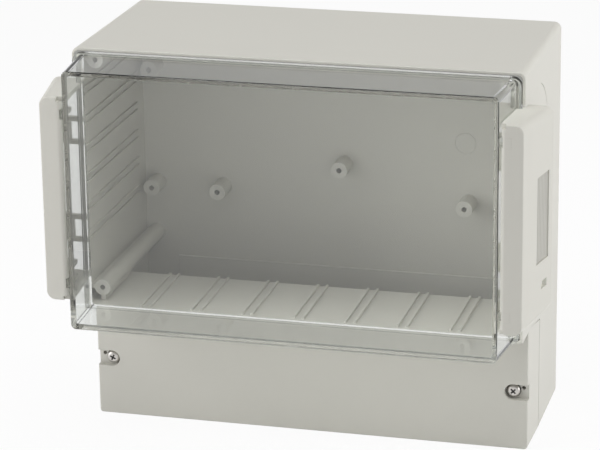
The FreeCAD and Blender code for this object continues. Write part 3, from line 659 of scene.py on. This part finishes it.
for side in ("right", "left"):
    low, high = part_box(f"screw_{side}")
    under_head = low.y + head_height
    place = facing_front((low.x + high.x) / 2, under_head, (low.z + high.z) / 2)
    grown(f"{side}_screw", tree, place @ Matrix.Rotation(math.radians(screw_turn[side]), 4, "Z"), "housing",
          f"screw_{side}", "steel", Head_radius=(high.x - low.x) / 2, Head_height=head_height,
          Shank_radius=shank_r, Root_radius=thread_root_r, Length=high.y - under_head,
          Thread_length=thread_length, Thread_pitch=thread_pitch, Thread_radius=screw_r)

# Black moulded rubber washers sit under the screw heads. They keep water out and hold the screws in
# the cover.
rubber_black = (0.02, 0.02, 0.02, 1.0)
washer_r = 4.1 * mm
washer_thickness = 0.8 * mm

rubber = soft_foam("washer_rubber", rubber_black)
tree, size = start_tree("rubber_washer", Inner_radius=screw_r, Outer_radius=washer_r,
                        Thickness=washer_thickness)
both_radii = maths(tree, "ADD", size["Inner radius"], size["Outer radius"])
ring = node_in(tree, "GeometryNodeCurvePrimitiveCircle", (-900, 200), Resolution=48,
               Radius=maths(tree, "MULTIPLY", both_radii, 0.5))
band = maths(tree, "SUBTRACT", size["Outer radius"], size["Inner radius"])
end_tree(tree, bead_along(tree, ring.outputs["Curve"], band, size["Thickness"]), rubber)
for side in ("right", "left"):
    low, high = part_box(f"washer_{side}")
    grown(f"{side}_washer", tree, facing_front(*((low + high) / 2)), "housing", f"washer_{side}", "seal",
          Inner_radius=screw_r, Outer_radius=(high.x - low.x) / 2, Thickness=high.y - low.y)

# The studio has a white floor, a white sky and three soft lamps. The camera stands where the
# photographer stood, and nothing of the studio belongs to the part.
photo_width_px = 600
lens_px = 2880.7
sensor_mm = 36.0
camera_at = Vector((398.9, -1583.0, 528.0)) * mm
camera_yaw = math.radians(15.16)
camera_pitch = math.radians(18.49)
camera_roll = math.radians(-0.80)
lens_shift = (0.0025, -0.0017)
far_end = 20.0

camera_data = bpy.data.cameras.new("camera")
camera_data.sensor_width = sensor_mm
camera_data.lens = sensor_mm * lens_px / photo_width_px
camera_data.clip_end = far_end
camera_data.shift_x, camera_data.shift_y = lens_shift
camera = bpy.data.objects.new("camera", camera_data)
camera.matrix_world = (Matrix.Translation(camera_at) @ Matrix.Rotation(camera_yaw, 4, "Z")
                       @ Matrix.Rotation(math.pi / 2 - camera_pitch, 4, "X")
                       @ Matrix.Rotation(camera_roll, 4, "Z"))
bpy.context.scene.collection.objects.link(camera)
bpy.context.scene.camera = camera


def seen_rays(tree):
    """One for rays from the camera, from gloss and through glass, nought for the rest."""
    rays = node_in(tree, "ShaderNodeLightPath", (-1300, 300))
    total = rays.outputs["Is Camera Ray"]
    for name in ("Is Glossy Ray", "Is Transmission Ray"):
        total = maths(tree, "MAXIMUM", total, rays.outputs[name])
    return total, rays.outputs["Is Glossy Ray"]


floor_z = size_at_load[0][2]
floor_reach = 6.0
floor_mesh = bpy.data.meshes.new("floor")
floor_corners = [(x * floor_reach, y * floor_reach, floor_z) for x, y in ((-1, -1), (1, -1), (1, 1), (-1, 1))]
floor_mesh.from_pydata(floor_corners, [], [(0, 1, 2, 3)])
floor = bpy.data.objects.new("floor", floor_mesh)
bpy.context.scene.collection.objects.link(floor)
floor_material, tree = new_material("floor_paper")
paper_white = (0.9, 0.9, 0.9, 1.0)
floor_white_share = 0.92
paper = node_in(tree, "ShaderNodeBsdfDiffuse", (0, 0), Color=paper_white)
bright = node_in(tree, "ShaderNodeEmission", (0, -200), Color=(1.0, 1.0, 1.0, 1.0), Strength=1.0)
mix = node_in(tree, "ShaderNodeMixShader", (200, 0))
white_share = maths(tree, "MULTIPLY", seen_rays(tree)[0], floor_white_share)
for socket, value in zip(mix.inputs, (white_share, paper.outputs[0], bright.outputs[0])):
    tree.links.new(value, socket)
node_in(tree, "ShaderNodeOutputMaterial", (400, 0), Surface=mix.outputs[0])
floor_mesh.materials.append(floor_material)

world = bpy.data.worlds.new("studio")
bpy.context.scene.world = world
world.use_nodes = True
tree = world.node_tree
tree.nodes.clear()
sky_level = 0.31
ceiling_level = 0.3
ceiling_from, ceiling_full = 0.06, 0.40
seen, by_gloss = seen_rays(tree)
direction = node_in(tree, "ShaderNodeTexCoord", (-1300, -200)).outputs["Generated"]
height = node_in(tree, "ShaderNodeSeparateXYZ", (-1100, -200), Vector=direction).outputs["Z"]
dimmer = node_in(tree, "ShaderNodeMapRange", (-900, -200), Value=height, From_Min=ceiling_from,
                 From_Max=ceiling_full, To_Min=0.0, To_Max=1.0 - ceiling_level)
white = maths(tree, "SUBTRACT", 1.0, maths(tree, "MULTIPLY", dimmer.outputs["Result"], by_gloss))
seen_part = maths(tree, "MULTIPLY", maths(tree, "SUBTRACT", white, sky_level), seen)
background = node_in(tree, "ShaderNodeBackground", (0, 0), Color=(1.0, 1.0, 1.0, 1.0),
                     Strength=maths(tree, "ADD", seen_part, sky_level))
node_in(tree, "ShaderNodeOutputWorld", (200, 0), Surface=background.outputs[0])


def soft_lamp(name, at, aim, width, height, watts):
    """A softbox that faces the point it is aimed at."""
    light = bpy.data.lights.new(name, "AREA")
    light.shape = "RECTANGLE"
    light.size = width
    light.size_y = height
    light.energy = watts
    lamp = bpy.data.objects.new(name, light)
    lamp.location = at
    lamp.rotation_euler = (Vector(aim) - Vector(at)).to_track_quat("-Z", "Y").to_euler()
    bpy.context.scene.collection.objects.link(lamp)


soft_lamp("left_box", (-1.2, -0.8, 0.5), (0.05, 0.0, 0.0), 0.8, 1.0, 10.0)
soft_lamp("right_box", (1.35, 0.05, 0.45), (0.0, 0.0, 0.0), 0.8, 1.0, 9.3)
soft_lamp("top_box", (0.0, -0.2, 1.4), (0.0, 0.0, 0.0), 1.0, 1.0, 8.4)

bpy.context.scene.view_settings.view_transform = "Standard"
